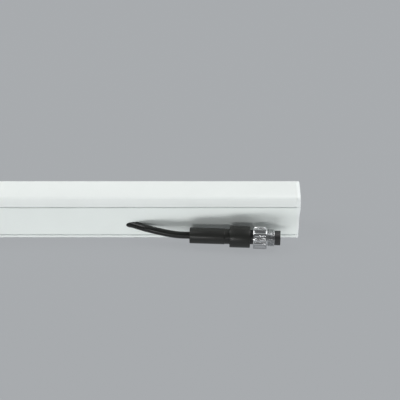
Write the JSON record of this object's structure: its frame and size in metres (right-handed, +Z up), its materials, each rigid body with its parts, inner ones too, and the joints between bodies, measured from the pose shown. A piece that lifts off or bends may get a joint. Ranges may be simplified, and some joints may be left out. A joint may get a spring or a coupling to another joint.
{
  "type": "led strip batten",
  "caption": "Slim sealed linear LED batten with a crowned opal diffuser, white extruded housing and a short black side cable that ends in a circular threaded plug.",
  "frame": {"origin": "centre of the underside of the batten's body, on the face it rests on", "axes": "+X along the batten towards the end nearest the cable plug, -Y out of the wall the cable leaves by, +Z up towards the diffuser"},
  "size_m": [0.5, 0.0378, 0.035],
  "materials": {
    "white_powder_coat": "satin",
    "opal_pmma": "satin",
    "white_moulded_pc": "satin",
    "grey_silicone": "matte",
    "white_silicone": "matte",
    "stainless": "satin",
    "vent_pa66": "matte",
    "white_solder_mask": "satin",
    "led_ceramic": "satin",
    "led_phosphor": "satin",
    "thermal_pad": "matte",
    "connector_ivory": "satin",
    "green_fr4": "satin",
    "ferrite": "matte",
    "capacitor_sleeve": "satin",
    "chip_epoxy": "matte",
    "terminal_pa": "satin",
    "core_insulation": "satin",
    "outlet_pa66": "matte",
    "black_silicone": "matte",
    "black_pur": "satin",
    "black_tpu": "satin",
    "black_pa66": "satin",
    "gold_plate": "polished",
    "nickel_brass": "polished"
  },
  "bodies": {
    "batten": {"housing": "white_powder_coat", "base_plate": "white_powder_coat", "diffuser": "opal_pmma", "end_cap_left": "white_moulded_pc", "end_cap_right": "white_moulded_pc", "base_gasket": "grey_silicone", "diffuser_gaskets": "grey_silicone", "end_gasket_left": "white_silicone", "end_gasket_right": "white_silicone", "end_screws_left": "stainless", "end_screws_right": "stainless", "base_screws": "stainless", "board_screws": "stainless", "outlet_block_screws": "stainless", "clamp_screws": "stainless", "mount_nuts": "stainless", "vent_plug": "vent_pa66", "led_board_left": "white_solder_mask", "led_board_right": "white_solder_mask", "led_packages": "led_ceramic", "led_phosphors": "led_phosphor", "thermal_pads": "thermal_pad", "board_link": "connector_ivory", "driver_board": "green_fr4", "driver_inductors": "ferrite", "driver_capacitors": "capacitor_sleeve", "driver_chips": "chip_epoxy", "input_terminal": "terminal_pa", "output_terminal": "terminal_pa", "core_leads": "core_insulation", "led_leads": "core_insulation", "plug_cores": "core_insulation", "outlet_block": "outlet_pa66", "cable_clamp": "outlet_pa66", "cable_seal": "black_silicone", "cable_tail": "black_pur", "cable_free": "black_pur", "cable_end": "black_pur", "plug_boot": "black_tpu", "plug_body": "black_tpu", "contact_carrier": "black_pa66", "contact_pins": "gold_plate"},
    "coupling_ring": {"coupling_ring": "nickel_brass"}
  },
  "joints": [
    {"name": "coupling_ring_turn", "type": "hinge", "parent": "batten", "child": "coupling_ring", "pos_m": [0.22284, -0.01981, 0.008], "axis": [0.9988, -0.0489, 0], "continuous": true}
  ]
}
